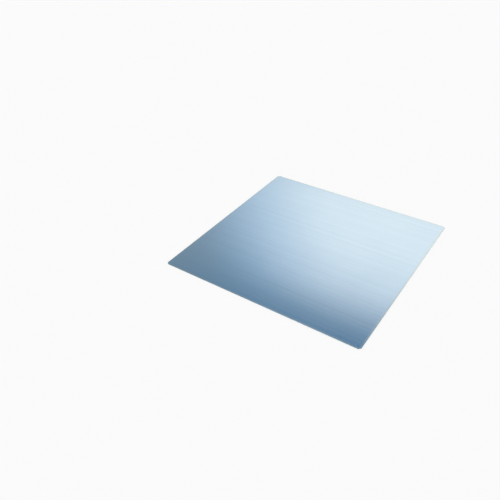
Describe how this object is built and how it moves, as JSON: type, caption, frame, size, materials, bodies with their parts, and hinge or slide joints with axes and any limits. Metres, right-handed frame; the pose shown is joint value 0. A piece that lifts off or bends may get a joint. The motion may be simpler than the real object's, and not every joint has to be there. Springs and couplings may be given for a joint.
{
  "type": "silicon wafer",
  "caption": "Thin square slice of silicon with small 45 degree corner cuts and satin faces, the blank from which a solar cell is made.",
  "frame": {"origin": "middle of the back face, the face that the wafer lies on", "axes": "+Z out of the front face; +X and +Y square to the wafer's edges"},
  "size_m": [0.156, 0.156, 0.0002],
  "materials": {
    "silicon": "satin"
  },
  "bodies": {
    "root": {"wafer": "silicon"}
  },
  "joints": []
}
